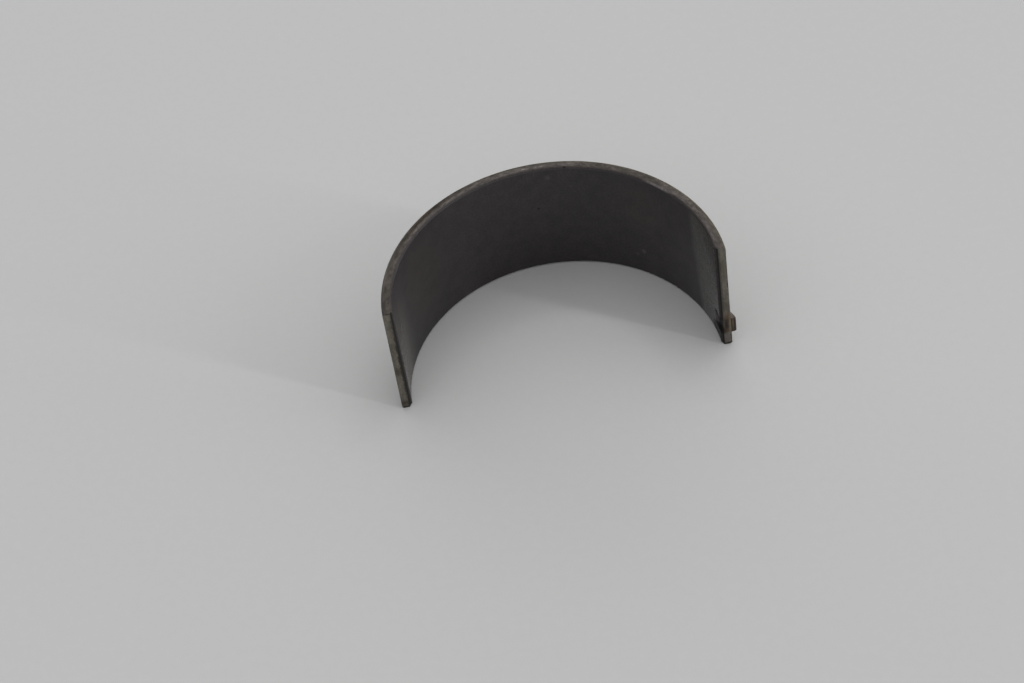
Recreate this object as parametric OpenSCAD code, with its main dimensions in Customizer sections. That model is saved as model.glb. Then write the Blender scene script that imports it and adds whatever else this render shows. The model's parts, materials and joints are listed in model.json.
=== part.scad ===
// Plain half bearing shell for a crankpin: a half ring of lined steel strip with one lanced locating lug.
// The bore axis is +Z and the shell stands on its lower side face, at z = 0.
// The joint faces lie in the plane y = 0, the crown points to +Y and the lug is at the +X end.

/* [Shell] */
// Outside diameter of the back, which is the bore of its housing
back_d = 55.6; // [44:0.1:80]
// Wall thickness
wall_t = 1.8; // [1.4:0.05:3]
// Width along the bore axis
shell_w = 22.6; // [14:0.1:40]

/* [Edge bevels] */
// Bevel between the bore and each side face
bore_bevel = 0.35; // [0.1:0.05:0.5]
// Bevel between the back and each side face
back_bevel = 0.3; // [0.1:0.05:0.5]
// Bevel between the bore and each joint face
joint_bevel = 0.5; // [0.1:0.05:0.6]

/* [Bore relief] */
// Height of the relieved stretch of the bore above each joint face
relief_h = 9.5; // [6:0.5:13]
// Depth of the relief at the joint face
relief_d = 0.04; // [0.02:0.01:0.1]

/* [Locating lug] */
// Distance of the lug from the lower side face
lug_z = 2.65; // [1:0.05:6]
// Width of the lug along the bore axis
lug_w = 3.2; // [2:0.05:6]
// Stand-out of the lug from the back
lug_out = 0.92; // [0.6:0.01:1.4]
// Length of the lug round the back
lug_len = 2.9; // [2:0.1:4.5]
// Radius of the lug's rounded ramp
lug_r = 12; // [6:0.5:20]
// Radius of the lug's tip, between its ramp and its end
lug_tip_r = 0.35; // [0.1:0.05:0.5]
// Set-back of the lug's end from the joint face
lug_setback = 0.1; // [0.05:0.05:0.4]

/* [Pocket behind the lug] */
// Depth of the pocket in the bore, at the joint face
pocket_d = 0.85; // [0.4:0.05:1.1]
// Length of the pocket round the bore
pocket_len = 3.0; // [2:0.1:4.5]
// Gap between the punch and the die, at each side of the lug
die_gap = 0.1; // [0.05:0.05:0.3]

/* [Hidden] */
$fn = 360;

back_r = back_d / 2;
bore_r = back_r - wall_t;
mid_r = back_r - wall_t / 2;

// Cuts run this far past the faces that they open
past = 1;

// The relief is an arc that leaves the bore at relief_h and is relief_d deep at the joint face
relief_rise = bore_r + relief_d - sqrt(bore_r * bore_r - relief_h * relief_h);
relief_r = (relief_h * relief_h + relief_rise * relief_rise) / (2 * relief_rise);
relief_shift = bore_r + relief_d - relief_r;

// Point on a circle round the bore axis, at a height above the joint plane
function on_circle(radius, height) = [sqrt(radius * radius - height * height), height];

// Point at given distances from a lower and an upper point, on the side of the bore axis
function bore_side_point(lower, lower_dist, upper, upper_dist) =
    let (line = upper - lower)
    let (span = norm(line))
    let (along = (lower_dist * lower_dist - upper_dist * upper_dist + span * span) / (2 * span))
    let (aside = sqrt(lower_dist * lower_dist - along * along))
    lower + (along * line + aside * [-line[1], line[0]]) / span;

// The lug's ramp is an arc from its tip to the back, and runs smoothly into the round of the tip
lug_tip = [back_r + lug_out - lug_tip_r, lug_setback + lug_tip_r];
lug_centre = bore_side_point(lug_tip, lug_r - lug_tip_r, on_circle(back_r, lug_len), lug_r);
lug_tip_normal = (lug_tip - lug_centre) / norm(lug_tip - lug_centre);

// The pocket's floor is an arc too, from the joint face to the bore
pocket_centre = bore_side_point([bore_r + pocket_d, 0], lug_r, on_circle(bore_r, pocket_len), lug_r);

// Section of the strip, with its bevelled side edges
module strip_section()
{
    polygon([
        [bore_r, bore_bevel],
        [bore_r + bore_bevel, 0],
        [back_r - back_bevel, 0],
        [back_r, back_bevel],
        [back_r, shell_w - back_bevel],
        [back_r - back_bevel, shell_w],
        [bore_r + bore_bevel, shell_w],
        [bore_r, shell_w - bore_bevel]
    ]);
}

// Strip bent to a half circle
module half_ring()
{
    rotate_extrude(angle = 180)
        strip_section();
}

// Plan of the lug, from the middle of the wall out to its tip and ramp
module lug_plan()
{
    translate(lug_tip)
        circle(lug_tip_r);
    intersection()
    {
        translate(lug_centre)
            circle(lug_r);
        polygon([
            [mid_r, lug_setback],
            [lug_tip[0], lug_setback],
            lug_tip,
            lug_tip + (lug_tip_r + past) * lug_tip_normal,
            [back_r + lug_out + past, lug_len + past],
            [mid_r, lug_len + past]
        ]);
    }
}

// Lug with a rounded ramp and square, sheared sides
module lug()
{
    translate([0, 0, lug_z])
        linear_extrude(lug_w)
            lug_plan();
}

// Mark that the punch leaves in the bore behind the lug
module punch_pocket()
{
    translate([pocket_centre[0], pocket_centre[1], lug_z + die_gap])
        cylinder(r = lug_r, h = lug_w - 2 * die_gap);
}

// Shallow relief of the bore beside one joint face
module bore_relief()
{
    translate([relief_shift, 0, -past])
        cylinder(r = relief_r, h = shell_w + 2 * past);
}

// Bevel along the bore edge of one joint face
module joint_bevel_cut()
{
    edge_x = bore_r + relief_d;
    translate([0, 0, -past])
        linear_extrude(shell_w + 2 * past)
            polygon([
                [edge_x - past, -past],
                [edge_x + joint_bevel + past, -past],
                [edge_x - past, joint_bevel + past]
            ]);
}

module bearing_shell()
{
    color([0.23, 0.22, 0.21])
        difference()
        {
            union()
            {
                half_ring();
                lug();
            }
            for (side = [0, 1])
                mirror([side, 0, 0])
                {
                    bore_relief();
                    joint_bevel_cut();
                }
            punch_pocket();
        }
}

bearing_shell();
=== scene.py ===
"""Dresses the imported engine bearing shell, and gives it a plain floor, soft light and a camera."""

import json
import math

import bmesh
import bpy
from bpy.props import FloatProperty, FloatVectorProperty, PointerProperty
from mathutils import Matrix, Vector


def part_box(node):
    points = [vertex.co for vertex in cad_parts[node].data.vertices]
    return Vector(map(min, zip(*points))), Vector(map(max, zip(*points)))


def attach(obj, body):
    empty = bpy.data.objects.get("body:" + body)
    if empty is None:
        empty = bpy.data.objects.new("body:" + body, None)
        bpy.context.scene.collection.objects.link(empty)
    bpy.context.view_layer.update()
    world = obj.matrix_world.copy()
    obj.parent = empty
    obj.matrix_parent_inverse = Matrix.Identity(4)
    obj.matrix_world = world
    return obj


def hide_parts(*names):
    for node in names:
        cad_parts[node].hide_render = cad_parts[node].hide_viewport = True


bl_info = {
    "name": "Engine bearing shell",
    "version": (1, 0, 0),
    "blender": (4, 5, 0),
    "location": "3D View > Sidebar > Bearing shell",
    "description": "Builds a lined half bearing shell with its locating lug, and a plain stage for it",
    "category": "Mesh",
}

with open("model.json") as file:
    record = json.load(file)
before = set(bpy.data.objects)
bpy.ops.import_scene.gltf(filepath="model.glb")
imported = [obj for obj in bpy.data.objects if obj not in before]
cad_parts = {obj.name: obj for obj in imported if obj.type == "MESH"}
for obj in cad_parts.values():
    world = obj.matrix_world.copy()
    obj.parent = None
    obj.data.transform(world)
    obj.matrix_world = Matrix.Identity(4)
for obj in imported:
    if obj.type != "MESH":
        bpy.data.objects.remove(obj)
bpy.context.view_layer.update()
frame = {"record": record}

MM = 0.001
NODE = "bearing_shell"
NODE_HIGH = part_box(NODE)[1]
JOURNAL_BORE = next(mount for mount in frame["record"]["mounts"] if mount["name"] == "journal_bore")

# The photograph's width in pixels, and the width of film in millimetres that the lens is given for
IMAGE_WIDTH = 1024
FILM_WIDTH = 36.0

# Points of the mesh that are closer than this, in metres, are one point
WELD = 1e-7

# The bore is cut by a bevel where it is deeper than this many depths of the relief
PAST_RELIEF = 1.5

# A face of the back is a bevel where its normal has more than this along the bore axis
FACES_SIDEWAYS = 0.5

# Material slots of the shell, in their order on the mesh
LINING, CUT_WITH_SHADE, SIDE_FACE, JOINT_FACE, BACK, LUG = range(6)


def linear(code):
    """Linear colour of an sRGB hex value."""
    channels = [int(code[place:place + 2], 16) / 255 for place in (1, 3, 5)]
    return tuple(
        channel / 12.92 if channel <= 0.04045 else ((channel + 0.055) / 1.055) ** 2.4
        for channel in channels
    )


def length(name, default, description):
    """Property that holds a size of the shell, in metres."""
    return FloatProperty(
        name=name, description=description, default=default, min=0.0, unit="LENGTH", precision=5
    )


def colour(name, code, description):
    """Property that holds a linear colour, given as an sRGB hex value."""
    return FloatVectorProperty(
        name=name, description=description, default=linear(code), size=3, min=0.0, max=1.0,
        subtype="COLOR",
    )


class BearingShellSizes(bpy.types.PropertyGroup):
    """Sizes of the shell; those that the frame gives are taken from it"""

    back_radius: length("Back radius", NODE_HIGH.y, "Outside radius of the half ring")
    bore_radius: length("Bore radius", JOURNAL_BORE["dims"]["r_mm"] * MM, "Radius of the lined bore")
    width: length("Width", NODE_HIGH.z, "Width along the bore axis")
    bore_bevel: length("Bore bevel", 0.35 * MM, "Bevel between the bore and each side face")
    back_bevel: length("Back bevel", 0.3 * MM, "Bevel between the back and each side face")
    joint_bevel: length("Joint bevel", 0.5 * MM, "Bevel between the bore and each joint face")
    relief_height: length("Relief height", 9.5 * MM, "Height of the relieved bore above each joint face")
    relief_depth: length("Relief depth", 0.04 * MM, "Depth of the relief at the joint face")
    lug_height: length("Lug height", 2.65 * MM, "Distance of the lug from the lower side face")
    lug_width: length("Lug width", 3.2 * MM, "Width of the lug along the bore axis")
    lug_out: length("Lug stand-out", NODE_HIGH.x - NODE_HIGH.y, "Stand-out of the lug from the back")
    lug_length: length("Lug length", 2.9 * MM, "Length of the lug round the back")
    lug_curve: length("Lug curve", 12 * MM, "Radius of the lug's ramp and of the pocket behind it")
    lug_tip: length("Lug tip", 0.35 * MM, "Radius between the lug's ramp and its end")
    lug_upper_round: length("Lug upper round", 0.45 * MM, "Radius of the lug's worn upper edge")
    lug_lower_round: length("Lug lower round", 0.15 * MM, "Radius of the lug's lower edge")
    lug_setback: length("Lug set-back", 0.1 * MM, "Set-back of the lug's end from the joint face")
    pocket_depth: length("Pocket depth", 0.85 * MM, "Depth of the pocket at the joint face")
    pocket_length: length("Pocket length", 3 * MM, "Length of the pocket round the bore")
    die_gap: length("Die gap", 0.1 * MM, "Gap between punch and die at each side of the lug")
    edge_round: length("Edge round", 0.04 * MM, "Radius that handling has put on the sharp edges")


class BearingShellFinishes(bpy.types.PropertyGroup):
    """Colours of the shell's surfaces"""

    lining: colour("Lining", "#2C2729", "Polymer coat of the bore")
    # In part a painted sheen: the relieved end's lighter colour stands for its grazing view
    relief: colour("Relief", "#3B3936", "Thin coat on the relieved end beside the lug")
    # In part a painted sheen: the plain end's lighter, warmer colour stands for its grazing highlight
    thin_coat_and_sheen: colour("Thin coat", "#443D34", "Coat that is worn thin at the plain end")
    # Painted light: this colour also stands for the lit shallow floor of the pocket
    scuff: colour("Scuffs", "#4C4846", "Scuffs in the coat, the pocket and the plain end's bevel")
    # Painted shade: this near-black also stands for the shade in the pocket and on the joints' bevels
    soot_and_shade: colour("Soot", "#131211", "Old oil round the pocket, on the joints' bevels and in pits")
    steel: colour("Side faces", "#4D4845", "Browned steel of the side faces and the bevels beside them")
    browned: colour("Browner side faces", "#413C37", "Stretches of the side faces with a thicker film")
    edge: colour("Outer edge", "#4A4437", "Yellower film along the outer edge of the side faces")
    rubbed: colour("Rubbed steel", "#7D7161", "Worn line on the joint face beside the lug")
    joint: colour("Joint faces", "#726E65", "Browned steel of the joint faces")
    # In part a painted highlight at the lug's root
    sheared_and_highlight: colour("Sheared steel", "#5C5246", "Sheared upper side of the lug, at its root")
    # Painted shade: this colour also darkens the foot of each joint face
    dirt_and_shade: colour("Dirt", "#3A342F", "Dirt along the joint faces' edges and on the side face")
    # Painted shade: this colour also darkens the left joint face just above its foot
    stain_and_shade: colour("Stains", "#514A43", "Dark stains on the joint faces and the pocket's floor")
    back: colour("Back", "#6A655E", "Rolled steel of the back and of the lug's ramp")
    # Painted shade: this colour also darkens the lug's end at its foot and nose
    rust_and_shade: colour("Rust", "#2E251E", "Dark rust on the lug's end and in a streak on the side face")
    rust_film: colour("Rust film", "#665645", "Thin rust on the back, the ramp and the joint face")
    rust_shade: colour("Rust shade", "#3A322A", "Darker rust on the joint face and the lug's top")
    redder_rust: colour("Redder rust", "#5E4A3B", "Redder rust at the lug's foot and in stains")
    clean: colour("Clean steel", "#746D6D", "Cleaner steel below the lug, in flecks and on one bevel")
    torn: colour("Torn steel", "#56473A", "Tear marks of the lug's end")
    ridge: colour("Lug ridge", "#665545", "Lighter ridge down the lug's end")
    floor: colour("Floor", "#BEBEBE", "Matte card that the shell stands on")


def circle_reach(centre, radius, angle):
    """Distance from the bore axis along a plan angle to the far side of a circle, or 0 if it misses."""
    along = centre.x * math.cos(angle) + centre.y * math.sin(angle)
    inside = radius**2 - centre.length_squared + along**2
    return along + math.sqrt(inside) if inside > 0 else 0.0


def bore_side_point(lower, lower_distance, upper, upper_distance):
    """Plan point at given distances from a lower and an upper point, on the side of the bore axis."""
    line = upper - lower
    span = line.length
    along = (lower_distance**2 - upper_distance**2 + span**2) / (2 * span)
    aside = math.sqrt(lower_distance**2 - along**2)
    return lower + (along * line + aside * Vector((-line.y, line.x))) / span


def on_circle(radius, height):
    """Plan point on a circle round the bore axis, at a height above the joint plane."""
    return Vector((math.sqrt(radius**2 - height**2), height))


def steps(start, end, longest):
    """Even steps from start to end, both included, none longer than asked."""
    count = max(1, math.ceil(abs(end - start) / longest))
    return [start + (end - start) * number / count for number in range(count + 1)]


def round_drop(distance, radius):
    """How far a rounded edge falls short of its sharp corner, at a distance from the corner."""
    short = max(0.0, radius - distance)
    return radius - math.sqrt(radius**2 - short**2)


class ShellForm:
    """How far each surface of the shell is from the bore axis, by plan angle and height"""

    def __init__(self, sizes):
        self.sizes = sizes
        self.mid_radius = (sizes.bore_radius + sizes.back_radius) / 2
        self.joint_edge = sizes.bore_radius + sizes.relief_depth

        # The relief is an arc that leaves the bore at its height and is deepest at the joint face
        rise = self.joint_edge - on_circle(sizes.bore_radius, sizes.relief_height).x
        self.relief_radius = (sizes.relief_height**2 + rise**2) / (2 * rise)
        self.relief_centre = Vector((self.joint_edge - self.relief_radius, 0))

        # The lug's ramp and the pocket's floor are arcs, and the ramp runs smoothly into the lug's tip
        self.tip_centre = Vector((
            sizes.back_radius + sizes.lug_out - sizes.lug_tip,
            sizes.lug_setback + sizes.lug_tip,
        ))
        self.ramp_centre = bore_side_point(
            self.tip_centre, sizes.lug_curve - sizes.lug_tip,
            on_circle(sizes.back_radius, sizes.lug_length), sizes.lug_curve,
        )
        tangent = self.tip_centre - self.ramp_centre
        self.tip_turn = math.atan2(tangent.y, tangent.x)
        self.pocket_centre = bore_side_point(
            Vector((sizes.bore_radius + sizes.pocket_depth, 0)), sizes.lug_curve,
            on_circle(sizes.bore_radius, sizes.pocket_length), sizes.lug_curve,
        )

    def inner(self, angle, height, in_pocket):
        """Radius of the bore with its bevels, reliefs and pocket."""
        sizes = self.sizes
        mirrored = min(angle, math.pi - angle)
        side_depth = min(height, sizes.width - height)
        radii = [
            sizes.bore_radius + sizes.bore_bevel - side_depth,
            circle_reach(self.relief_centre, self.relief_radius, mirrored),
        ]
        if mirrored < math.pi / 4:
            radii.append(
                (self.joint_edge + sizes.joint_bevel) / (math.cos(mirrored) + math.sin(mirrored))
            )
        if in_pocket:
            radii.append(circle_reach(self.pocket_centre, sizes.lug_curve, angle))
        return max(sizes.bore_radius, *radii)

    def is_cut(self, place):
        """Whether a place on the bore is on a bevel or in the pocket behind the lug."""
        sizes = self.sizes
        off_middle = abs(place.z - sizes.lug_height - sizes.lug_width / 2)
        past_side = off_middle - sizes.lug_width / 2 + sizes.die_gap
        in_pocket = place.x > 0 and place.y < sizes.pocket_length and past_side < WELD
        return in_pocket or place.xy.length > sizes.bore_radius + PAST_RELIEF * sizes.relief_depth

    def outer(self, angle, height, on_lug):
        """Radius of the back with its bevels and lug."""
        sizes = self.sizes
        side_depth = min(height, sizes.width - height)
        plain = sizes.back_radius - max(0.0, sizes.back_bevel - side_depth)
        if not on_lug:
            return plain
        if angle < self.tip_angle(self.tip_turn):
            lug = circle_reach(self.tip_centre, sizes.lug_tip, angle)
        else:
            lug = circle_reach(self.ramp_centre, sizes.lug_curve, angle)
        stand_out = max(0.0, lug - sizes.back_radius)
        above = height - sizes.lug_height
        below = sizes.lug_height + sizes.lug_width - height
        lug -= round_drop(above, min(sizes.lug_lower_round, stand_out))
        lug -= round_drop(below, min(sizes.lug_upper_round, stand_out))
        return max(plain, lug)

    def tip_angle(self, turn):
        """Plan angle, from the bore axis, of a point on the round of the lug's tip."""
        point = self.tip_centre + self.sizes.lug_tip * Vector((math.cos(turn), math.sin(turn)))
        return math.atan2(point.y, point.x)

    def stations(self):
        """Plan angle of each section, from the lug's end on, and whether it is on the lug."""
        sizes = self.sizes

        # Longest steps in plan angle on the lug's ramp and past the lug, and in turn round the lug's tip
        fine, coarse, tip_step = math.radians(0.4), math.radians(1.0), 0.25
        tip = [self.tip_angle(turn) for turn in steps(-math.pi / 2, self.tip_turn, tip_step)]
        lug_end = tip[0]
        ramp = steps(tip[-1], math.asin(sizes.lug_length / sizes.back_radius), fine)
        pocket_end = math.asin(sizes.pocket_length / sizes.bore_radius)
        relief_end = math.asin(sizes.relief_height / sizes.bore_radius)
        bevel_end = math.pi / 4 - math.acos(
            (self.joint_edge + sizes.joint_bevel) / (math.sqrt(2) * self.joint_edge)
        )
        past_lug = [
            *steps(pocket_end, relief_end, coarse),
            *steps(relief_end, math.pi - relief_end, coarse),
            *steps(math.pi - relief_end, math.pi - bevel_end, coarse),
            math.pi,
        ]
        on_lug = sorted({*tip, *ramp})
        return [(0.0, False), (lug_end, False), *((angle, True) for angle in on_lug)] + [
            (angle, False) for angle in sorted({*past_lug})
        ]

    def rows(self):
        """Height of each row of points, from below, and whether it is on the lug and in the pocket."""
        sizes = self.sizes
        lug_low, lug_high = sizes.lug_height, sizes.lug_height + sizes.lug_width
        pocket_low, pocket_high = lug_low + sizes.die_gap, lug_high - sizes.die_gap
        bevels = sorted((sizes.back_bevel, sizes.bore_bevel))

        # Spans: lowest and highest height, longest step, and whether it is on the lug and in the pocket
        fine, coarse = 0.05 * MM, 0.6 * MM
        spans = [
            (0.0, bevels[0], coarse, False, False),
            (bevels[0], bevels[1], coarse, False, False),
            (bevels[1], lug_low, coarse, False, False),
            (lug_low, pocket_low, fine, True, False),
            (pocket_low, lug_low + sizes.lug_lower_round, fine, True, True),
            (lug_low + sizes.lug_lower_round, lug_high - sizes.lug_upper_round, coarse, True, True),
            (lug_high - sizes.lug_upper_round, pocket_high, fine, True, True),
            (pocket_high, lug_high, fine, True, False),
            (lug_high, sizes.width - bevels[1], coarse, False, False),
            (sizes.width - bevels[1], sizes.width - bevels[0], coarse, False, False),
            (sizes.width - bevels[0], sizes.width, coarse, False, False),
        ]
        return [
            (height, on_lug, in_pocket)
            for low, high, longest, on_lug, in_pocket in spans
            for height in steps(low, high, longest)
        ]


def shell_mesh(sizes):
    """Mesh of the shell, set out in sections round the half ring.

    Each point has its place on the strip as an attribute: along it, depth from the bore, and height.
    """
    form = ShellForm(sizes)
    stations = form.stations()
    rows = form.rows()
    quarter = 0.25
    across = steps(0.0, 1.0, quarter)
    build = bmesh.new()
    strip = build.verts.layers.float_vector.new("strip")
    points = {}

    def point(angle, radius, height):
        """Vertex at a plan angle, radius and height; one that is already there is used again."""
        place = Vector((radius * math.cos(angle), radius * math.sin(angle), height))
        key = tuple(round(value / WELD) for value in place)
        if key not in points:
            vertex = build.verts.new(place)
            vertex[strip] = Vector((form.mid_radius * angle, radius - sizes.bore_radius, height))
            points[key] = vertex
        return points[key]

    def section(station, row, share):
        """Vertex of one section at a row, at a share of the way from the bore to the back."""
        angle, on_lug_angle = station
        height, on_lug_row, in_pocket = row
        inner = form.inner(angle, height, in_pocket)
        outer = form.outer(angle, height, on_lug_angle and on_lug_row)
        return point(angle, inner + share * (outer - inner), height)

    def sheet(lines, other_lines, corner, finish):
        """Faces between neighbouring lines of two sets; corner gives the vertex at one of each."""
        for line, next_line in zip(lines, lines[1:]):
            for other, next_other in zip(other_lines, other_lines[1:]):
                corners = [
                    corner(line, other), corner(next_line, other),
                    corner(next_line, next_other), corner(line, next_other),
                ]
                corners = list(dict.fromkeys(corners))
                if len(corners) > 2:
                    build.faces.new(corners).material_index = finish

    sheet(stations, rows, lambda station, row: section(station, row, across[0]), LINING)
    sheet(stations, rows, lambda station, row: section(station, row, across[-1]), BACK)
    for row in (rows[0], rows[-1]):
        sheet(stations, across, lambda station, share: section(station, row, share), SIDE_FACE)
    for station in (stations[0], stations[-1]):
        sheet(rows, across, lambda row, share: section(station, row, share), JOINT_FACE)

    bmesh.ops.recalc_face_normals(build, faces=build.faces)
    for face in build.faces:
        face.smooth = True
        centre = face.calc_center_median()
        if face.material_index == BACK:
            if centre.xy.length > sizes.back_radius:
                face.material_index = LUG
            elif abs(face.normal.z) > FACES_SIDEWAYS:
                face.material_index = SIDE_FACE
        elif face.material_index == LINING and form.is_cut(centre):
            face.material_index = CUT_WITH_SHADE
    mesh = bpy.data.meshes.new(NODE)
    build.to_mesh(mesh)
    build.free()
    return mesh


def new_material(name):
    """Material with an empty node tree, and the tree."""
    material = bpy.data.materials.new(name)
    material.use_nodes = True
    material.node_tree.nodes.clear()
    return material, material.node_tree


def add_node(tree, kind, inputs=None, output="", **settings):
    """Adds a node with its settings, values and links, and gives the output asked for, or its first."""
    node = tree.nodes.new(kind)
    for name, value in settings.items():
        setattr(node, name, value)
    sockets = [socket for socket in node.inputs if socket.enabled]
    for name, value in (inputs or {}).items():
        if isinstance(name, int):
            socket = sockets[name]
        else:
            socket = next(known for known in sockets if known.name == name)
        if isinstance(value, bpy.types.NodeSocket):
            tree.links.new(value, socket)
        elif socket.type == "RGBA":
            socket.default_value = (*value, 1.0)
        else:
            socket.default_value = value
    outputs = [socket for socket in node.outputs if socket.enabled and output in ("", socket.name)]
    return outputs[0] if outputs else None


def patches(tree, place, sizes, low, high, edges=(0.3, 0.7)):
    """Cloudy pattern from low to high, with the size of its patches along each axis in millimetres.

    The edges are the levels of the cloud, between 0 and 1, at which the pattern is low and high.
    """
    per_patch = [1 / (size * MM) for size in sizes]
    stretched = add_node(tree, "ShaderNodeVectorMath", {0: place, 1: per_patch}, operation="MULTIPLY")
    cloud = add_node(
        tree, "ShaderNodeTexNoise",
        {"Vector": stretched, "Scale": 1.0, "Detail": 4.0, "Roughness": 0.55},
    )
    return add_node(
        tree, "ShaderNodeMapRange",
        {"Value": cloud, "From Min": edges[0], "From Max": edges[1], "To Min": low, "To Max": high},
    )


def spot(tree, place, centre, radii, soft=0.5, most=1.0):
    """Share that is highest in an oval, with its centre and radii in millimetres, and 0 outside it.

    The edge is soft over that part of the radii to either side.
    """
    centre = [value * MM for value in centre]
    per_radius = [1 / (radius * MM) for radius in radii]
    aside = add_node(tree, "ShaderNodeVectorMath", {0: place, 1: centre}, operation="SUBTRACT")
    scaled = add_node(tree, "ShaderNodeVectorMath", {0: aside, 1: per_radius}, operation="MULTIPLY")
    distance = add_node(tree, "ShaderNodeVectorMath", {0: scaled}, operation="LENGTH")
    return add_node(
        tree, "ShaderNodeMapRange",
        {"Value": distance, "From Min": 1 + soft, "From Max": 1 - soft, "To Max": most},
        interpolation_type="SMOOTHSTEP",
    )


def ragged(tree, place, size):
    """Place shifted by a cloud of a size in millimetres, so that marks laid on it have ragged edges."""
    cloud = add_node(
        tree, "ShaderNodeTexNoise", {"Vector": place, "Scale": 1 / (size * MM), "Detail": 3.0}, "Color",
    )
    middle = (0.5, 0.5, 0.5)
    shift = add_node(tree, "ShaderNodeVectorMath", {0: cloud, 1: middle}, operation="SUBTRACT")
    shift = add_node(tree, "ShaderNodeVectorMath", {0: shift, "Scale": size * MM}, operation="SCALE")
    return add_node(tree, "ShaderNodeVectorMath", {0: place, 1: shift}, operation="ADD")


def mottled(tree, place, film, sizes, low, high):
    """Film whose colour is darker and lighter, from low to high, in patches of a size in millimetres."""
    tone = patches(tree, place, sizes, low, high)
    return add_node(tree, "ShaderNodeVectorMath", {0: film, "Scale": tone}, operation="SCALE")


def lined_steel(tree, film, lines, smoothest, roughest, depth, metallic):
    """Ends a steel's nodes with its film and with fine lines, which make its gloss uneven.

    The depth of the lines is in millimetres.
    """
    roughness = add_node(
        tree, "ShaderNodeMapRange", {"Value": lines, "To Min": smoothest, "To Max": roughest},
    )
    relief = add_node(tree, "ShaderNodeBump", {"Height": lines, "Distance": depth * MM})
    shade = add_node(
        tree, "ShaderNodeBsdfPrincipled",
        {"Base Color": film, "Metallic": metallic, "Roughness": roughness, "Normal": relief},
    )
    add_node(tree, "ShaderNodeOutputMaterial", {"Surface": shade})


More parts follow.
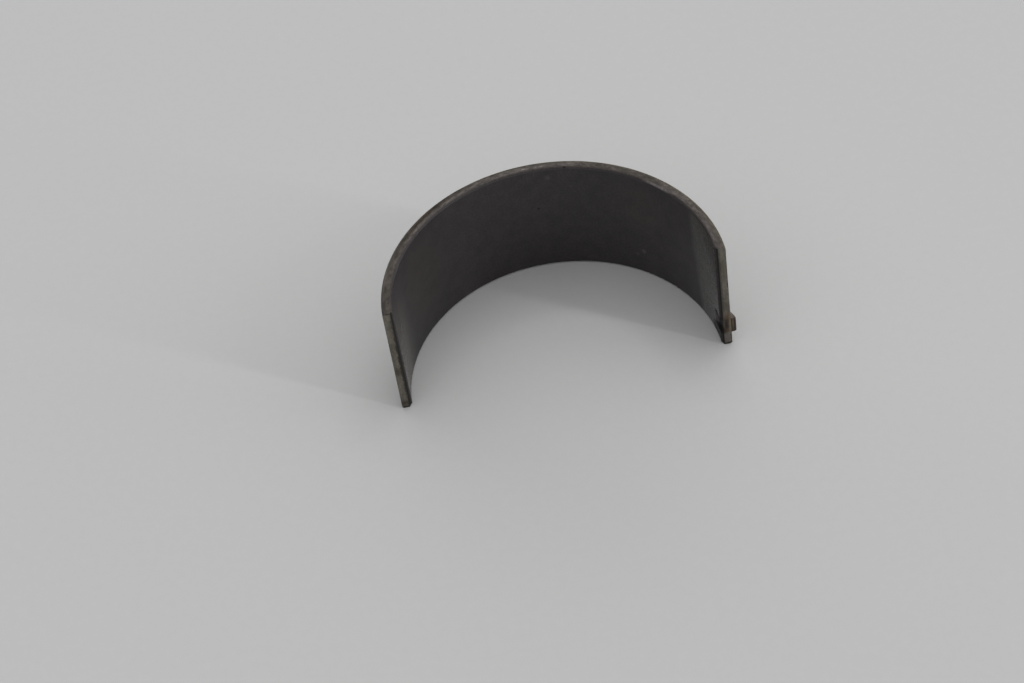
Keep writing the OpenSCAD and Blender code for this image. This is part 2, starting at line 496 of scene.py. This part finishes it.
def polymer_coated_lining(sizes, finishes):
    """Graphite-filled polymer, sprayed on the bored lining and baked.

    It is a satin, nearly black coat with faint mottling, two faint rusty stains and a few scuffs.
    Towards the joints it is thinner and smoother, and turns lighter in a grazing view; its lighter colour
    there is in part a painted sheen. Painted shade blackens it along the pocket's edges, and it is darker
    below the pocket.
    """
    material, tree = new_material("polymer_coated_lining_sprayed")
    strip = add_node(tree, "ShaderNodeAttribute", output="Vector", attribute_name="strip")
    along = add_node(tree, "ShaderNodeSeparateXYZ", {"Vector": strip}, "X")
    height = add_node(tree, "ShaderNodeSeparateXYZ", {"Vector": strip}, "Z")
    mid_radius = (sizes.bore_radius + sizes.back_radius) / 2
    strip_length = math.pi * mid_radius

    # The smooth end has a slanting edge beside the lug. At the plain end it fades in slowly, and is
    # weaker near the top
    slant = (1, 0, -0.11)
    leaning = add_node(tree, "ShaderNodeVectorMath", {0: strip, 1: slant}, operation="DOT_PRODUCT")
    lug_end = add_node(
        tree, "ShaderNodeMapRange", {"Value": leaning, "From Min": 9.5 * MM, "From Max": 7.5 * MM},
        interpolation_type="SMOOTHSTEP",
    )
    plain_end = add_node(
        tree, "ShaderNodeMapRange",
        {"Value": along, "From Min": strip_length - 12.5 * MM, "From Max": strip_length - 6.5 * MM},
        interpolation_type="SMOOTHSTEP",
    )
    weaker = add_node(
        tree, "ShaderNodeMapRange",
        {"Value": height, "From Min": 13 * MM, "From Max": 21 * MM, "To Min": 1.0, "To Max": 0.0},
    )
    plain_end = add_node(tree, "ShaderNodeMath", {0: plain_end, 1: weaker}, operation="MULTIPLY")
    smooth = add_node(tree, "ShaderNodeMath", {0: lug_end, 1: plain_end}, operation="MAXIMUM")
    thin_and_sheen = add_node(tree, "ShaderNodeMapRange", {"Value": plain_end, "To Max": 0.6})

    # The coat is darker at the foot beside the lug and over a broad stretch before the plain end, and
    # rust has left two stains. The marks are laid on the strip, whatever its depth
    any_depth = 100
    darker_foot = spot(tree, strip, (3, 0, 1.5), (3, any_depth, 3), soft=0.8, most=0.8)
    darker = spot(tree, strip, (69, 0, 14), (9, any_depth, 20), most=0.3)
    stain_place = ragged(tree, strip, 2.0)
    stains = [
        spot(tree, stain_place, middle, radii, soft=0.6, most=0.08)
        for middle, radii in (((22.5, 0, 16), (4, any_depth, 6)), ((67, 0, 12), (6, any_depth, 8)))
    ]

    coat = finishes.lining
    for size, spread in ((0.6, 0.2), (0.3, 0.35)):
        coat = mottled(tree, strip, coat, (size, 1, size), 1 - spread, 1 + spread)
    # The relieved end and the plain end's thinner coat turn lighter; in part this is a painted sheen of
    # their grazing view
    for share, finish in (
        (lug_end, finishes.relief), (thin_and_sheen, finishes.thin_coat_and_sheen), (darker_foot, finishes.lining),
        (darker, finishes.soot_and_shade), (stains[0], finishes.redder_rust), (stains[1], finishes.redder_rust),
    ):
        coat = add_node(
            tree, "ShaderNodeMix", {"Factor": share, "A": coat, "B": finish}, data_type="RGBA",
        )
    coat = mottled(tree, strip, coat, (2.5, 1, 2.5), 0.75, 1.25)

    # Scuffs: plan angle in degrees, height and half sizes, along and up, in millimetres, and strength
    for angle, up, half_length, half_height, strength in (
        (83.0, 20.5, 0.4, 0.45, 0.5), (48.75, 5.3, 0.4, 0.5, 0.9), (51.5, 4.2, 0.3, 0.35, 0.6),
    ):
        middle = (math.radians(angle) * mid_radius / MM, 0, up)
        scuff = spot(tree, strip, middle, (half_length, any_depth, half_height), most=strength)
        coat = add_node(
            tree, "ShaderNodeMix", {"Factor": scuff, "A": coat, "B": finishes.scuff}, data_type="RGBA",
        )

    # Soot lies in a pit near the crown. Painted shade in the same near-black lies along the pocket's
    # upper and lower edges, and the coat is darkened thinly below the pocket
    lug_low, lug_high = sizes.lug_height / MM, (sizes.lug_height + sizes.lug_width) / MM
    pit_middle = (math.radians(87.8) * mid_radius / MM, 0, 13.7)
    pit_and_shade = spot(tree, strip, pit_middle, (0.2, any_depth, 0.2), most=0.8)
    for middle, radii, strength in (
        ((1.6, 0, lug_high), (1.4, any_depth, 0.37), 1.0),
        ((2.0, 0, lug_low), (1.3, any_depth, 0.22), 1.0),
        ((2.2, 0, 1.4), (2.2, any_depth, 1.5), 0.55),
    ):
        dark_mark = spot(tree, strip, middle, radii, soft=0.3, most=strength)
        pit_and_shade = add_node(tree, "ShaderNodeMath", {0: pit_and_shade, 1: dark_mark}, operation="MAXIMUM")
    coat = add_node(
        tree, "ShaderNodeMix", {"Factor": pit_and_shade, "A": coat, "B": finishes.soot_and_shade}, data_type="RGBA",
    )

    satin, smoother, dull = 0.46, 0.27, 0.9
    roughness = add_node(
        tree, "ShaderNodeMapRange", {"Value": smooth, "To Min": satin, "To Max": smoother},
    )
    uneven = patches(tree, strip, (2, 1, 2), 0.9, 1.1, edges=(0.0, 1.0))
    roughness = add_node(tree, "ShaderNodeMath", {0: roughness, 1: uneven}, operation="MULTIPLY")
    roughness = add_node(tree, "ShaderNodeMix", {"Factor": pit_and_shade, "A": roughness, "B": dull})

    # Real boring lines are 0.1 mm apart, and are drawn at 0.3 mm so that they show
    boring_lines = patches(tree, strip, (20, 1, 0.3), 0.0, 1.0, edges=(0.0, 1.0))
    relief = add_node(tree, "ShaderNodeBump", {"Height": boring_lines, "Distance": 0.001 * MM})
    shade = add_node(
        tree, "ShaderNodeBsdfPrincipled",
        {"Base Color": coat, "Roughness": roughness, "IOR": 1.55, "Normal": relief},
    )
    add_node(tree, "ShaderNodeOutputMaterial", {"Surface": shade})
    return material


def lining_cut_with_shade(sizes, finishes):
    """Lined strip, cut at its bevels and punched in at the pocket, with painted shade in the pocket's
    corners.

    It is dull and dark. The bevels turn into bare steel towards the side faces, less so near the plain
    end, and have one stretch rubbed clean and one pit. Painted shade, nearly black, lies on the bevels
    beside the joints and in the pocket's corners and deep end. A painted pool of light lies on the
    pocket's floor at its shallow end, and the floor is bare at the joint face.
    """
    material, tree = new_material("polymer_coated_lining_cut")
    strip = add_node(tree, "ShaderNodeAttribute", output="Vector", attribute_name="strip")
    along = add_node(tree, "ShaderNodeSeparateXYZ", {"Vector": strip}, "X")
    depth = add_node(tree, "ShaderNodeSeparateXYZ", {"Vector": strip}, "Y")
    strip_length = math.pi * (sizes.bore_radius + sizes.back_radius) / 2
    from_plain_end = add_node(tree, "ShaderNodeMath", {0: strip_length, 1: along}, operation="SUBTRACT")

    # Bevels along the side faces
    top = sizes.width / MM
    bare = add_node(
        tree, "ShaderNodeMapRange",
        {"Value": depth, "From Min": 0.08 * MM, "From Max": sizes.bore_bevel},
    )
    less_bare = add_node(
        tree, "ShaderNodeMapRange",
        {"Value": from_plain_end, "From Min": 8 * MM, "From Max": 22 * MM, "To Min": 0.2, "To Max": 1.0},
    )
    bare = add_node(tree, "ShaderNodeMath", {0: bare, 1: less_bare}, operation="MULTIPLY")
    rubbed = spot(tree, strip, (18.6, 0.25, top - 0.2), (2.7, 0.2, 0.5), most=0.75)
    pit = spot(tree, strip, (35.9, 0.1, top - 0.3), (0.25, 0.3, 0.3))

    # Pocket: painted shade lies in its corners and at its deep end, and a painted pool of light on its
    # shallow floor has a slanting edge
    any_depth = 100
    lug_low, lug_middle = sizes.lug_height / MM, (sizes.lug_height + sizes.lug_width / 2) / MM
    pocket = spot(tree, strip, (1.0, 0, lug_middle), (3.5, any_depth, 2.0), soft=0.1)
    lit_wedge = spot(tree, strip, (3.2, 0, lug_middle), (1.4, any_depth, 1.3), soft=0.15)
    slant = (-1.2, 0, 1)
    leaning = add_node(tree, "ShaderNodeVectorMath", {0: strip, 1: slant}, operation="DOT_PRODUCT")
    below_slant = add_node(
        tree, "ShaderNodeMapRange", {"Value": leaning, "From Min": 1.9 * MM, "From Max": 1.5 * MM},
    )
    lit_wedge = add_node(tree, "ShaderNodeMath", {0: lit_wedge, 1: below_slant}, operation="MULTIPLY")
    lower_corner_shade = spot(tree, strip, (2.6, 0, lug_low + 0.35), (1.4, any_depth, 0.2), soft=0.25)
    upper_corner_shade = spot(tree, strip, (1.6, 0, lug_middle + 1.3), (1.4, any_depth, 0.25), soft=0.3)
    deep_end_shade = add_node(
        tree, "ShaderNodeMapRange", {"Value": along, "From Min": 2.4 * MM, "From Max": 1.9 * MM},
    )
    deep_end_shade = add_node(tree, "ShaderNodeMath", {0: deep_end_shade, 1: pocket}, operation="MULTIPLY")
    floor_edge = add_node(
        tree, "ShaderNodeMapRange", {"Value": depth, "From Min": 0.55 * MM, "From Max": 0.7 * MM},
    )

    # Bevels along the joint faces
    worn_bevel = add_node(
        tree, "ShaderNodeMapRange",
        {"Value": from_plain_end, "From Min": 0.6 * MM, "From Max": 0.5 * MM, "To Max": 0.6},
    )
    # Painted shade: the bevels right at the joints are nearly black
    from_joint = add_node(tree, "ShaderNodeMath", {0: along, 1: from_plain_end}, operation="MINIMUM")
    joint_bevel_shade = add_node(
        tree, "ShaderNodeMapRange", {"Value": from_joint, "From Min": 0.45 * MM, "From Max": 0.2 * MM},
    )

    film = finishes.lining
    for share, finish in (
        (bare, finishes.steel), (rubbed, finishes.clean), (pit, finishes.soot_and_shade),
        (pocket, finishes.lining), (lit_wedge, finishes.scuff), (lower_corner_shade, finishes.soot_and_shade),
        (upper_corner_shade, finishes.soot_and_shade), (deep_end_shade, finishes.soot_and_shade), (worn_bevel, finishes.scuff),
        (joint_bevel_shade, finishes.soot_and_shade), (floor_edge, finishes.stain_and_shade),
    ):
        film = add_node(
            tree, "ShaderNodeMix", {"Factor": share, "A": film, "B": finish}, data_type="RGBA",
        )
    film = mottled(tree, strip, film, (0.5, 1, 0.5), 0.8, 1.4)
    shade = add_node(
        tree, "ShaderNodeBsdfPrincipled",
        {"Base Color": film, "Roughness": 0.6, "Specular IOR Level": 0.25},
    )
    add_node(tree, "ShaderNodeOutputMaterial", {"Surface": shade})
    return material


# Marks on the upper side face: place along the strip and depth from the bore, then half sizes, all in
# millimetres, and the finish. In their order they are two browner stretches, a dark streak with its
# middle, and a rubbed band.
SIDE_MARKS = [
    (26, 0.5, 9, 0.75, "browned"),
    (73, 1.0, 18, 100, "browned"),
    (61, 1.2, 10, 0.45, "dirt_and_shade"),
    (62, 1.1, 5, 0.2, "rust_and_shade"),
    (59, 0.5, 9, 0.25, "steel"),
]


def browned_steel_side(sizes, finishes):
    """Mild steel, faced on both sides and then browned by storage under old oil.

    The film takes most of the metal's gleam. It leaves a dull brownish grey in patches, yellower along
    the outer edge, darker over two stretches and in a streak, and rubbed in one band and in flecks near
    the crown.
    """
    material, tree = new_material("browned_steel_faced")
    strip = add_node(tree, "ShaderNodeAttribute", output="Vector", attribute_name="strip")
    depth = add_node(tree, "ShaderNodeSeparateXYZ", {"Vector": strip}, "Y")
    outside = add_node(
        tree, "ShaderNodeMapRange",
        {"Value": depth, "From Min": 0.9 * MM, "From Max": 1.5 * MM, "To Max": 0.8},
    )
    film = add_node(
        tree, "ShaderNodeMix", {"Factor": outside, "A": finishes.steel, "B": finishes.edge},
        data_type="RGBA",
    )

    # Marks reach down from the upper face, but not as far as the lower one
    top, reach = sizes.width / MM, 10
    mark_place = ragged(tree, strip, 0.35)
    for along, deep, half_length, half_depth, finish in SIDE_MARKS:
        mark = spot(tree, mark_place, (along, deep, top), (half_length, half_depth, reach), soft=0.3)
        film = add_node(
            tree, "ShaderNodeMix", {"Factor": mark, "A": film, "B": getattr(finishes, finish)},
            data_type="RGBA",
        )
    crown = spot(tree, strip, (35, 0.75, top), (9, 0.35, reach), soft=0.3)
    flecks = patches(tree, strip, (0.7, 0.25, 1), 0.0, 1.0, edges=(0.57, 0.7))
    flecks = add_node(tree, "ShaderNodeMath", {0: crown, 1: flecks}, operation="MULTIPLY")
    film = add_node(
        tree, "ShaderNodeMix", {"Factor": flecks, "A": film, "B": finishes.clean}, data_type="RGBA",
    )
    for patch, spread in (((4, 1, 1), 0.35), ((0.8, 0.4, 1), 0.5)):
        film = mottled(tree, strip, film, patch, 1 - spread, 1 + spread)

    # Facing lines run along the strip, as far apart as the tool's feed of 0.15 mm
    facing_lines = patches(tree, strip, (6, 0.15, 1), 0.0, 1.0)
    lined_steel(tree, film, facing_lines, smoothest=0.38, roughest=0.55, depth=0.005, metallic=0.8)
    return material


# Marks on the joint faces: x and z of the centre and half sizes in millimetres, the finish and its
# strength. In their order they are the rust round the lug, its redder foot, the worn line beside the lug,
# the clean patch below it, a dark mark at the pocket's mouth, and stains and dirt on both faces, with
# their inner edges last. The marks along the foot of each face are painted shade.
JOINT_MARKS = [
    (27.2, 6.2, 0.9, 1.2, "rust_film", 0.7),
    (27.0, 4.6, 0.5, 1.5, "rust_shade", 1.0),
    (27.1, 3.2, 0.4, 0.4, "redder_rust", 0.8),
    (27.68, 4.6, 0.16, 2.0, "rubbed", 1.0),
    (27.2, 1.6, 0.35, 0.8, "clean", 1.0),
    (26.75, 4.25, 0.12, 1.5, "soot_and_shade", 0.5),
    (27.8, 1.4, 0.16, 1.3, "dirt_and_shade", 1.0),
    # Painted shade along the foot of the right face
    (27.2, 0.0, 1.2, 0.35, "dirt_and_shade", 1.0),
    (27.8, 14.0, 0.15, 0.6, "dirt_and_shade", 1.0),
    (26.8, 18.2, 0.6, 1.6, "stain_and_shade", 0.5),
    (27.2, 9.0, 0.7, 1.0, "stain_and_shade", 0.5),
    (-27.4, 8.8, 0.6, 0.8, "stain_and_shade", 0.8),
    (-27.2, 15.0, 0.7, 0.9, "stain_and_shade", 0.35),
    (-27.2, 22.65, 1.2, 0.25, "dirt_and_shade", 1.0),
    # Painted shade along the foot of the left face, in two rows
    (-27.2, 0.0, 1.2, 0.35, "dirt_and_shade", 1.0),
    (-27.2, 1.2, 0.9, 0.6, "stain_and_shade", 0.9),
    (26.6, 14.0, 0.2, 10.0, "dirt_and_shade", 0.6),
    (-26.6, 11.0, 0.17, 12.0, "dirt_and_shade", 0.95),
]


def browned_steel_joint(finishes):
    """Mild steel, broached flat at the joint and browned by old oil.

    It is an olive grey with fine broaching lines along it, rust round the lug, stains and dirty edges,
    and painted shade along its feet.
    """
    material, tree = new_material("browned_steel_broached")
    place = add_node(tree, "ShaderNodeTexCoord", output="Object")
    film = finishes.joint
    for patch, spread in (((0.8, 1, 2.5), 0.3), ((0.3, 1, 0.5), 0.25)):
        film = mottled(tree, place, film, patch, 1 - spread, 1 + spread)

    any_depth = 5
    mark_place = ragged(tree, place, 0.6)
    for across, up, half_width, half_height, finish, strength in JOINT_MARKS:
        radii = (half_width, any_depth, half_height)
        mark = spot(tree, mark_place, (across, 0, up), radii, soft=0.7, most=strength)
        film = add_node(
            tree, "ShaderNodeMix", {"Factor": mark, "A": film, "B": getattr(finishes, finish)},
            data_type="RGBA",
        )

    # Real broaching lines are about 0.05 mm apart, and are drawn at 0.15 mm so that they show
    broaching_lines = patches(tree, place, (0.15, 1, 5), 0.0, 1.0)
    lined_steel(tree, film, broaching_lines, smoothest=0.38, roughest=0.55, depth=0.004, metallic=0.8)
    return material


def rolled_steel_back(finishes):
    """Mild steel strip as it was rolled, bent and sized: the back of the shell.

    It is a dull grey with fine lines round the back, broad stains and a few spots of rust.
    """
    material, tree = new_material("mild_steel_rolled")
    strip = add_node(tree, "ShaderNodeAttribute", output="Vector", attribute_name="strip")
    film = finishes.back
    for size, spread in ((6.0, 0.2), (0.8, 0.12)):
        film = mottled(tree, strip, film, (size, 1, size), 1 - spread, 1 + spread)
    rusting = patches(tree, strip, (1.4, 1, 1.0), 0.0, 0.7, edges=(0.66, 0.78))
    film = add_node(
        tree, "ShaderNodeMix", {"Factor": rusting, "A": film, "B": finishes.rust_film},
        data_type="RGBA",
    )

    # Real rolling lines are about 0.05 mm apart, and are drawn at 0.25 mm so that they show
    rolling_lines = patches(tree, strip, (25, 1, 0.25), 0.0, 1.0)
    lined_steel(tree, film, rolling_lines, smoothest=0.34, roughest=0.52, depth=0.005, metallic=0.85)
    return material


def rusted_steel_lug(sizes, finishes):
    """Mild steel, lanced out of the strip, with light rust on its torn end.

    The end is a dull brown with upright tear marks, one of them lighter, and has painted shade at the
    foot and the nose. The upper side is sheared bare at its root, where it is lighter, in part as a
    painted highlight, and the ramp looks like the back with more rust.
    """
    material, tree = new_material("rusted_steel_lanced")
    place = add_node(tree, "ShaderNodeTexCoord", output="Object")
    outward = add_node(tree, "ShaderNodeSeparateXYZ", {"Vector": place}, "X")
    tears = patches(tree, place, (0.2, 0.25, 4), 0.0, 1.0)
    film = add_node(
        tree, "ShaderNodeMix", {"Factor": tears, "A": finishes.torn, "B": finishes.rust_and_shade},
        data_type="RGBA",
    )
    foot, nose = sizes.back_radius, sizes.back_radius + sizes.lug_out
    # Painted shade darkens the end at its foot and at its nose
    for start, end in ((foot + 0.2 * MM, foot + 0.05 * MM), (nose - 0.5 * MM, nose - 0.25 * MM)):
        foot_and_nose_shade = add_node(
            tree, "ShaderNodeMapRange", {"Value": outward, "From Min": start, "From Max": end},
        )
        film = add_node(
            tree, "ShaderNodeMix", {"Factor": foot_and_nose_shade, "A": film, "B": finishes.rust_and_shade}, data_type="RGBA",
        )
    any_depth = 5
    ridge_middle = (foot / MM + 0.35, 0, (sizes.lug_height + sizes.lug_width / 2) / MM + 0.55)
    ridge = spot(tree, place, ridge_middle, (0.12, any_depth, 1.0), soft=0.8)
    film = add_node(
        tree, "ShaderNodeMix", {"Factor": ridge, "A": film, "B": finishes.ridge}, data_type="RGBA",
    )

    # The ramp is what faces outwards, and the sheared side what faces up
    normal = add_node(tree, "ShaderNodeNewGeometry", output="Normal")
    facing_out = add_node(tree, "ShaderNodeSeparateXYZ", {"Vector": normal}, "X")
    on_ramp = add_node(
        tree, "ShaderNodeMapRange", {"Value": facing_out, "From Min": 0.5, "From Max": 0.9},
    )
    rusting = patches(tree, place, (0.6, 0.6, 0.6), 0.0, 0.8)
    ramp = add_node(
        tree, "ShaderNodeMix", {"Factor": rusting, "A": finishes.back, "B": finishes.rust_film},
        data_type="RGBA",
    )
    film = add_node(tree, "ShaderNodeMix", {"Factor": on_ramp, "A": film, "B": ramp}, data_type="RGBA")
    facing_up = add_node(tree, "ShaderNodeSeparateXYZ", {"Vector": normal}, "Z")
    on_top = add_node(
        tree, "ShaderNodeMapRange", {"Value": facing_up, "From Min": 0.6, "From Max": 0.9},
    )
    # In part a painted highlight: the upper side is lighter at its root
    at_root = add_node(
        tree, "ShaderNodeMapRange",
        {"Value": outward, "From Min": foot + 0.6 * MM, "From Max": foot + 0.25 * MM},
    )
    upper_side = add_node(
        tree, "ShaderNodeMix", {"Factor": at_root, "A": finishes.rust_shade, "B": finishes.sheared_and_highlight},
        data_type="RGBA",
    )
    film = add_node(
        tree, "ShaderNodeMix", {"Factor": on_top, "A": film, "B": upper_side}, data_type="RGBA",
    )
    film = mottled(tree, place, film, (0.5, 0.5, 0.5), 0.75, 1.25)

    # Rust takes the gleam from the end, and the ramp keeps it
    gleam = add_node(tree, "ShaderNodeMapRange", {"Value": on_ramp, "To Min": 0.4, "To Max": 0.8})
    relief = add_node(tree, "ShaderNodeBump", {"Height": tears, "Distance": 0.02 * MM})
    shade = add_node(
        tree, "ShaderNodeBsdfPrincipled",
        {"Base Color": film, "Metallic": gleam, "Roughness": 0.55, "Normal": relief},
    )
    add_node(tree, "ShaderNodeOutputMaterial", {"Surface": shade})
    return material


def matte_card(finishes):
    """Matte card under the shell: pressed pulp, even and pale, without gloss and with a faint cloud."""
    material, tree = new_material("matte_card_pressed")
    place = add_node(tree, "ShaderNodeTexCoord", output="Object")
    pulp = mottled(tree, place, finishes.floor, (1.5, 1.5, 1.5), 0.99, 1.01)
    shade = add_node(
        tree, "ShaderNodeBsdfPrincipled",
        {"Base Color": pulp, "Roughness": 1.0, "Specular IOR Level": 0.0},
    )
    add_node(tree, "ShaderNodeOutputMaterial", {"Surface": shade})
    return material


class BEARING_SHELL_OT_add_shell(bpy.types.Operator):
    """Build the lined half shell in place of its plain solid"""

    bl_idname = "bearing_shell.add_shell"
    bl_label = "Add shell"

    def execute(self, context):
        sizes = context.scene.bearing_shell_sizes
        finishes = context.scene.bearing_shell_finishes
        shell = bpy.data.objects.new("lined_half_shell", shell_mesh(sizes))
        context.scene.collection.objects.link(shell)
        for material in (
            polymer_coated_lining(sizes, finishes),
            lining_cut_with_shade(sizes, finishes),
            browned_steel_side(sizes, finishes),
            browned_steel_joint(finishes),
            rolled_steel_back(finishes),
            rusted_steel_lug(sizes, finishes),
        ):
            shell.data.materials.append(material)
        edges = shell.modifiers.new("worn edges", "BEVEL")
        edges.width = sizes.edge_round
        edges.segments = 2
        edges.limit_method = "ANGLE"
        edges.angle_limit = math.radians(30)
        edges.harden_normals = True
        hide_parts(NODE)
        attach(shell, "root")
        return {"FINISHED"}


class BearingShellStage(bpy.types.PropertyGroup):
    """Camera of the stage, placed as the photograph was taken"""

    target: FloatVectorProperty(
        name="Target", description="Point of the floor in the middle of the picture",
        default=(-7.78 * MM, 9.96 * MM, 0.0), size=3, subtype="TRANSLATION", unit="LENGTH", precision=5,
    )
    distance: length("Distance", 427.2 * MM, "Distance of the camera from its target")
    azimuth: FloatProperty(
        name="Azimuth", description="Turn of the view from +Y towards +X",
        default=math.radians(2.277), subtype="ANGLE",
    )
    pitch: FloatProperty(
        name="Pitch", description="Angle of the view below the horizon",
        default=math.radians(47.076), subtype="ANGLE",
    )
    roll: FloatProperty(
        name="Roll", description="Turn of the camera about its line of sight",
        default=math.radians(9.52), subtype="ANGLE",
    )
    focal_pixels: FloatProperty(
        name="Focal length", description="Focal length in pixels of the photograph",
        default=2546.7, min=1.0,
    )


# Distance of the lamps in metres, and the widest spread of one of them in degrees
LAMP_DISTANCE = 6.0
WIDEST_BOX = 36

# Banks of soft boxes round the stage: name, azimuth from +X, spread, lowest and highest elevation, all
# in degrees, and how bright a white floor is in its light. The dome overhead gives the rest of the light.
SOFT_BOXES = [
    ("window_strip", 327.5, 3.0, 8.0, 38.0, 0.068),
    ("back_overhead", 61.0, 78.0, 58.5, 64.5, 0.098),
    ("back_low", 58.0, 156.0, 5.0, 22.0, 0.165),
]

# The dome is dark below the first elevation, in degrees, and bright above the second. The camera sees
# an even backdrop in its place
DOME_EDGE = (22.0, 35.0)
DOME_BRIGHT = 0.875
BACKDROP = 0.75

# Half the side of the floor, in metres
FLOOR_HALF = 12.0


def add_soft_boxes(scene, name, azimuth, spread, low, high, floor_light):
    """Bank of soft boxes, side by side and facing the shell, that light the floor as much as asked."""
    count = math.ceil(spread / WIDEST_BOX)
    elevation = math.radians((low + high) / 2)
    for number in range(count):
        turn = math.radians(azimuth + spread * ((number + 0.5) / count - 0.5))
        towards = Vector((
            math.cos(elevation) * math.cos(turn),
            math.cos(elevation) * math.sin(turn),
            math.sin(elevation),
        ))
        lamp = bpy.data.lights.new(name, "AREA")
        lamp.shape = "RECTANGLE"
        lamp.size = 2 * LAMP_DISTANCE * math.cos(elevation) * math.tan(math.radians(spread / count / 2))
        lamp.size_y = 2 * LAMP_DISTANCE * math.tan(math.radians((high - low) / 2))
        lamp.energy = math.pi**2 * LAMP_DISTANCE**2 * floor_light / count / math.sin(elevation)
        placed = bpy.data.objects.new(name, lamp)
        placed.location = LAMP_DISTANCE * towards
        placed.rotation_euler = (-towards).to_track_quat("-Z", "Y").to_euler()
        placed.visible_camera = False
        scene.collection.objects.link(placed)


def soft_dome():
    """World that lights the shell from overhead like a white ceiling, with a pale backdrop."""
    world = bpy.data.worlds.new("soft_dome")
    world.use_nodes = True
    tree = world.node_tree
    tree.nodes.clear()
    direction = add_node(tree, "ShaderNodeTexCoord", output="Generated")
    height = add_node(tree, "ShaderNodeSeparateXYZ", {"Vector": direction}, "Z")
    low, high = (math.sin(math.radians(edge)) for edge in DOME_EDGE)
    ceiling = add_node(
        tree, "ShaderNodeMapRange",
        {"Value": height, "From Min": low, "From Max": high, "To Max": DOME_BRIGHT},
        interpolation_type="SMOOTHSTEP",
    )
    seen = add_node(tree, "ShaderNodeLightPath", output="Is Camera Ray")
    strength = add_node(tree, "ShaderNodeMix", {"Factor": seen, "A": ceiling, "B": BACKDROP})
    light = add_node(tree, "ShaderNodeBackground", {"Color": (1, 1, 1), "Strength": strength})
    add_node(tree, "ShaderNodeOutputWorld", {"Surface": light})
    return world


def add_camera(scene, stage):
    """Camera at the photograph's angle."""
    along = Vector((
        math.sin(stage.azimuth) * math.cos(stage.pitch),
        math.cos(stage.azimuth) * math.cos(stage.pitch),
        -math.sin(stage.pitch),
    ))
    data = bpy.data.cameras.new("camera")
    data.sensor_width = FILM_WIDTH
    data.lens = stage.focal_pixels / IMAGE_WIDTH * FILM_WIDTH
    camera = bpy.data.objects.new("camera", data)
    turn = along.to_track_quat("-Z", "Y").to_matrix() @ Matrix.Rotation(-stage.roll, 3, "Z")
    place = Vector(stage.target) - stage.distance * along
    camera.matrix_world = Matrix.Translation(place) @ turn.to_4x4()
    scene.collection.objects.link(camera)
    scene.camera = camera


class BEARING_SHELL_OT_add_stage(bpy.types.Operator):
    """Add the floor, the soft light and the camera"""

    bl_idname = "bearing_shell.add_stage"
    bl_label = "Add stage"

    def execute(self, context):
        scene = context.scene
        mesh = bpy.data.meshes.new("floor")
        corners = [Vector((x, y, 0)) * FLOOR_HALF for x, y in ((-1, -1), (1, -1), (1, 1), (-1, 1))]
        mesh.from_pydata(corners, [], [range(len(corners))])
        mesh.materials.append(matte_card(scene.bearing_shell_finishes))
        floor = bpy.data.objects.new("floor", mesh)
        scene.collection.objects.link(floor)

        scene.world = soft_dome()
        for bank in SOFT_BOXES:
            add_soft_boxes(scene, *bank)
        add_camera(scene, scene.bearing_shell_stage)
        scene.view_settings.view_transform = "Standard"
        return {"FINISHED"}


class BEARING_SHELL_PT_build(bpy.types.Panel):
    """Sizes, colours and the steps that build the shell"""

    bl_label = "Bearing shell"
    bl_space_type = "VIEW_3D"
    bl_region_type = "UI"
    bl_category = "Bearing shell"

    def draw(self, context):
        scene = context.scene
        groups = (scene.bearing_shell_sizes, scene.bearing_shell_finishes, scene.bearing_shell_stage)
        for group in groups:
            box = self.layout.box()
            for name in group.__annotations__:
                box.prop(group, name)
        self.layout.operator(BEARING_SHELL_OT_add_shell.bl_idname)
        self.layout.operator(BEARING_SHELL_OT_add_stage.bl_idname)


CLASSES = (
    BearingShellSizes,
    BearingShellFinishes,
    BearingShellStage,
    BEARING_SHELL_OT_add_shell,
    BEARING_SHELL_OT_add_stage,
    BEARING_SHELL_PT_build,
)


def register():
    """Registers the classes and gives each scene its settings."""
    for kind in CLASSES:
        bpy.utils.register_class(kind)
    bpy.types.Scene.bearing_shell_sizes = PointerProperty(type=BearingShellSizes)
    bpy.types.Scene.bearing_shell_finishes = PointerProperty(type=BearingShellFinishes)
    bpy.types.Scene.bearing_shell_stage = PointerProperty(type=BearingShellStage)


def unregister():
    """Takes the settings and the classes away again."""
    del bpy.types.Scene.bearing_shell_stage
    del bpy.types.Scene.bearing_shell_finishes
    del bpy.types.Scene.bearing_shell_sizes
    for kind in reversed(CLASSES):
        bpy.utils.unregister_class(kind)


def main():
    """Builds the shell and its stage."""
    register()
    bpy.ops.bearing_shell.add_shell()
    bpy.ops.bearing_shell.add_stage()
    bpy.context.view_layer.update()


if __name__ == "__main__":
    main()
